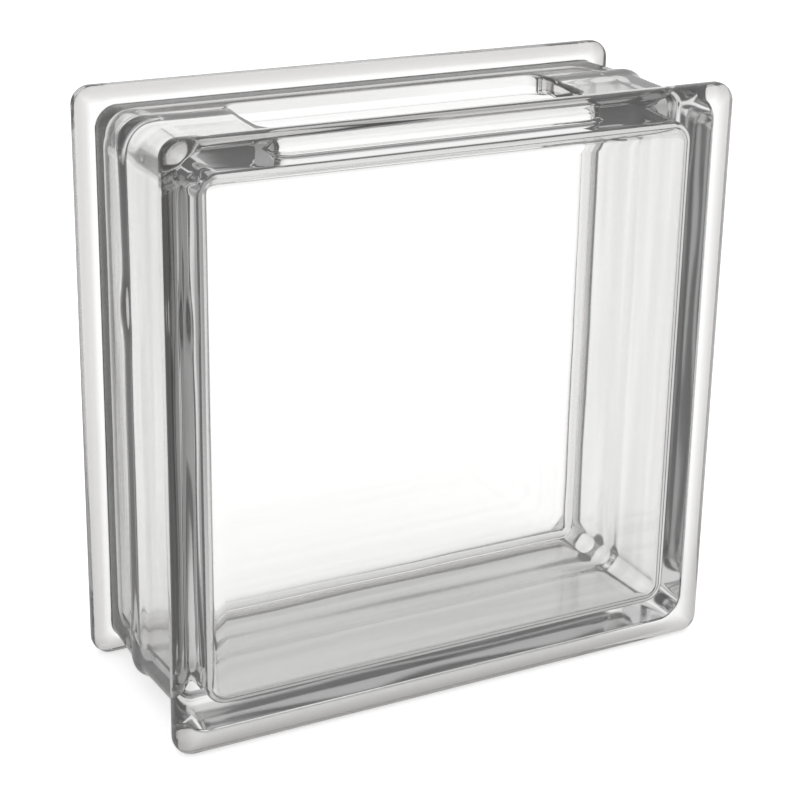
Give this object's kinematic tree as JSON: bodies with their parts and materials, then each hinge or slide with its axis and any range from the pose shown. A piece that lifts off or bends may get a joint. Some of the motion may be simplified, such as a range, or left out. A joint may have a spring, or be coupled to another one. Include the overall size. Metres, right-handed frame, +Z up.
{
  "type": "glass block",
  "caption": "Square hollow clear glass block with raised rims, grooved sides, a fused seam and a filling slot in its top side.",
  "frame": {"origin": "middle of the underside, on the plane that the two rims stand on", "axes": "+Z up, out of the side with the slot; +Y from the front face to the back face; X across the faces"},
  "size_m": [0.19, 0.08, 0.19],
  "materials": {
    "clear_glass": "fire-polished pressed clear glass"
  },
  "bodies": {
    "root": {"glass_block": "clear_glass"}
  },
  "joints": []
}
